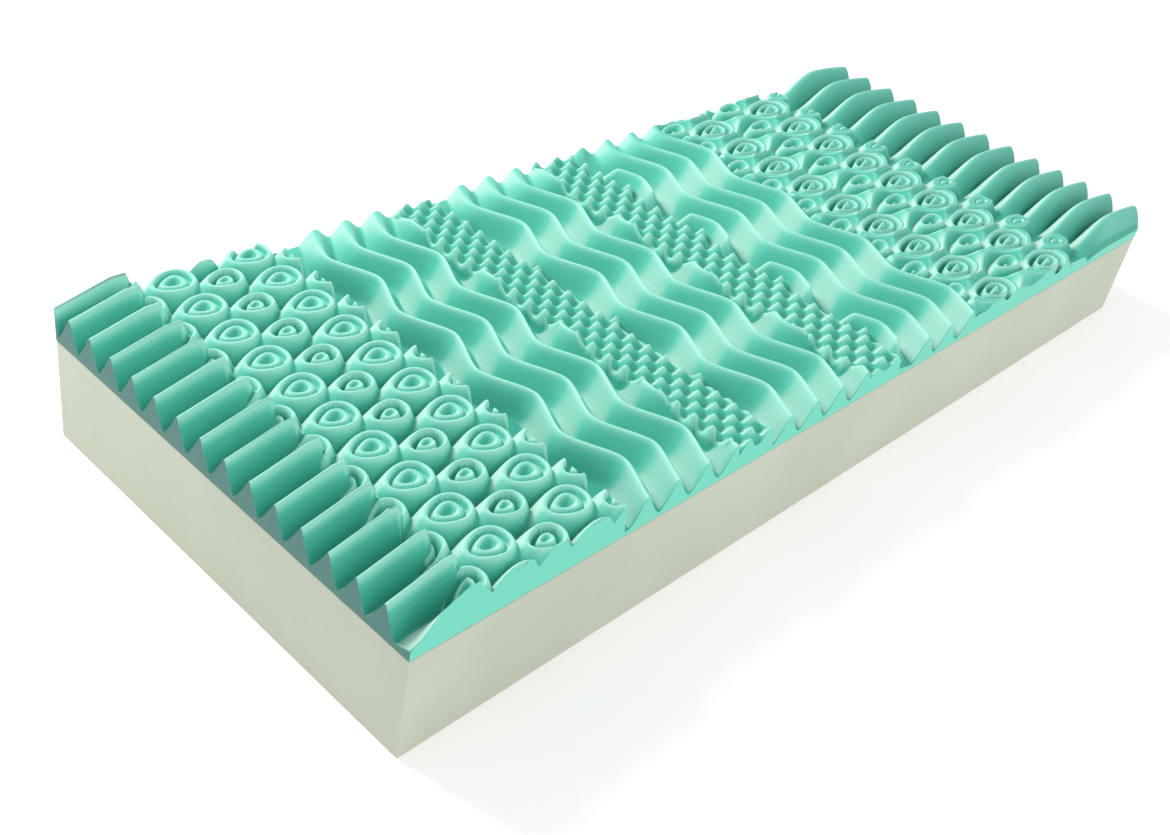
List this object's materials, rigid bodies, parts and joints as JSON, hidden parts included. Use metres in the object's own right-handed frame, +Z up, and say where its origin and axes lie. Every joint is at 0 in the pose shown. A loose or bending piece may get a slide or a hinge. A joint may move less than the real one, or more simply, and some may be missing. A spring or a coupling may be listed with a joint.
{
  "type": "memory foam mattress",
  "caption": "Bare mattress core: a cream foam block under a teal memory foam layer cut into ridges, rosettes, waves and small peaks.",
  "frame": {"origin": "centre of the mattress's underside", "axes": "+X along the length, towards the end with the sunken rosettes; +Y across the width; +Z up through the thickness"},
  "size_m": [2, 0.8, 0.2574],
  "materials": {
    "cream_foam": "matt open-cell foam, sharp sawn edges",
    "dried_glue": "thin dried adhesive line",
    "teal_memory_foam": "matt fine-celled memory foam, contour-cut surface"
  },
  "bodies": {
    "root": {"base_foam_block": "cream_foam", "adhesive_film": "dried_glue", "relief_foam_layer": "teal_memory_foam"}
  },
  "joints": []
}
